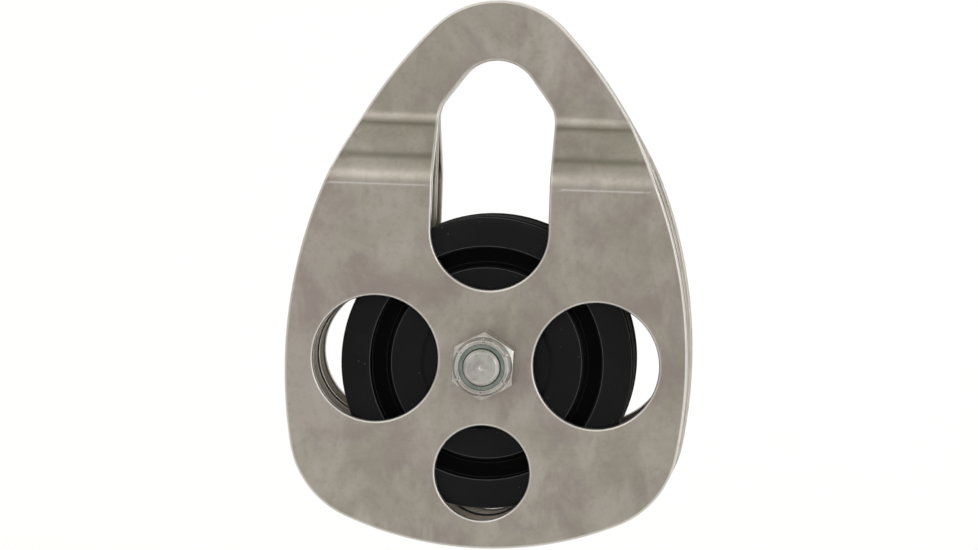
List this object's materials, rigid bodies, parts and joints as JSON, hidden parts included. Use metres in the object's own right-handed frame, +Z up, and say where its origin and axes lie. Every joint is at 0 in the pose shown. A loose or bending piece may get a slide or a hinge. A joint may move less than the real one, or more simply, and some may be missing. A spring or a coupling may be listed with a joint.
{
  "type": "double sheave block",
  "caption": "Rescue pulley with two grooved sheaves on sealed bearings between a centre plate and two swinging, joggled cheek plates that meet in a common eye.",
  "frame": {"origin": "crown of the eye, on the centre plate's middle plane, where the carabiner bears", "axes": "+X across the plates, +Y along the bolt from the nut towards its head, +Z up from the bolt towards the eye"},
  "size_m": [0.1262, 0.065, 0.1715],
  "materials": {
    "stainless_plate": "tumbled",
    "zinc_plated": "plated",
    "nylon_insert": "moulded",
    "black_anodised": "hard anodised",
    "bearing_steel": "ground",
    "seal_rubber": "moulded",
    "cage_polymer": "moulded"
  },
  "bodies": {
    "frame": {"center_plate": "stainless_plate", "axle_bolt": "zinc_plated", "lock_nut": "zinc_plated", "lock_nut_insert": "nylon_insert", "front_bearing_inner_ring": "bearing_steel", "front_spacer_outboard": "zinc_plated", "front_spacer_inboard": "zinc_plated", "rear_bearing_inner_ring": "bearing_steel", "rear_spacer_outboard": "zinc_plated", "rear_spacer_inboard": "zinc_plated"},
    "front_cheek": {"front_cheek_plate": "stainless_plate"},
    "rear_cheek": {"rear_cheek_plate": "stainless_plate"},
    "front_sheave": {"front_sheave": "black_anodised", "front_bearing_outer_ring": "bearing_steel", "front_bearing_seal_outboard": "seal_rubber", "front_bearing_seal_inboard": "seal_rubber"},
    "front_ball_set": {"front_bearing_cage": "cage_polymer", "front_bearing_ball_1": "bearing_steel", "front_bearing_ball_2": "bearing_steel", "front_bearing_ball_3": "bearing_steel", "front_bearing_ball_4": "bearing_steel", "front_bearing_ball_5": "bearing_steel", "front_bearing_ball_6": "bearing_steel", "front_bearing_ball_7": "bearing_steel"},
    "rear_sheave": {"rear_sheave": "black_anodised", "rear_bearing_outer_ring": "bearing_steel", "rear_bearing_seal_outboard": "seal_rubber", "rear_bearing_seal_inboard": "seal_rubber"},
    "rear_ball_set": {"rear_bearing_cage": "cage_polymer", "rear_bearing_ball_1": "bearing_steel", "rear_bearing_ball_2": "bearing_steel", "rear_bearing_ball_3": "bearing_steel", "rear_bearing_ball_4": "bearing_steel", "rear_bearing_ball_5": "bearing_steel", "rear_bearing_ball_6": "bearing_steel", "rear_bearing_ball_7": "bearing_steel"}
  },
  "joints": [
    {"name": "front_cheek_swing", "type": "hinge", "parent": "frame", "child": "front_cheek", "pos_m": [0, 0, -0.0945], "axis": [0, 1, 0], "continuous": true},
    {"name": "front_sheave_spin", "type": "hinge", "parent": "frame", "child": "front_sheave", "pos_m": [0, 0, -0.0945], "axis": [0, 1, 0], "continuous": true},
    {"name": "front_ball_set_spin", "type": "hinge", "parent": "frame", "child": "front_ball_set", "pos_m": [0, 0, -0.0945], "axis": [0, 1, 0], "continuous": true},
    {"name": "rear_cheek_swing", "type": "hinge", "parent": "frame", "child": "rear_cheek", "pos_m": [0, 0, -0.0945], "axis": [0, 1, 0], "continuous": true},
    {"name": "rear_sheave_spin", "type": "hinge", "parent": "frame", "child": "rear_sheave", "pos_m": [0, 0, -0.0945], "axis": [0, 1, 0], "continuous": true},
    {"name": "rear_ball_set_spin", "type": "hinge", "parent": "frame", "child": "rear_ball_set", "pos_m": [0, 0, -0.0945], "axis": [0, 1, 0], "continuous": true}
  ],
  "couplings": [
    {"joint": "front_ball_set_spin", "follows": "front_sheave_spin", "ratio": 0.6329},
    {"joint": "rear_ball_set_spin", "follows": "rear_sheave_spin", "ratio": 0.6329}
  ]
}
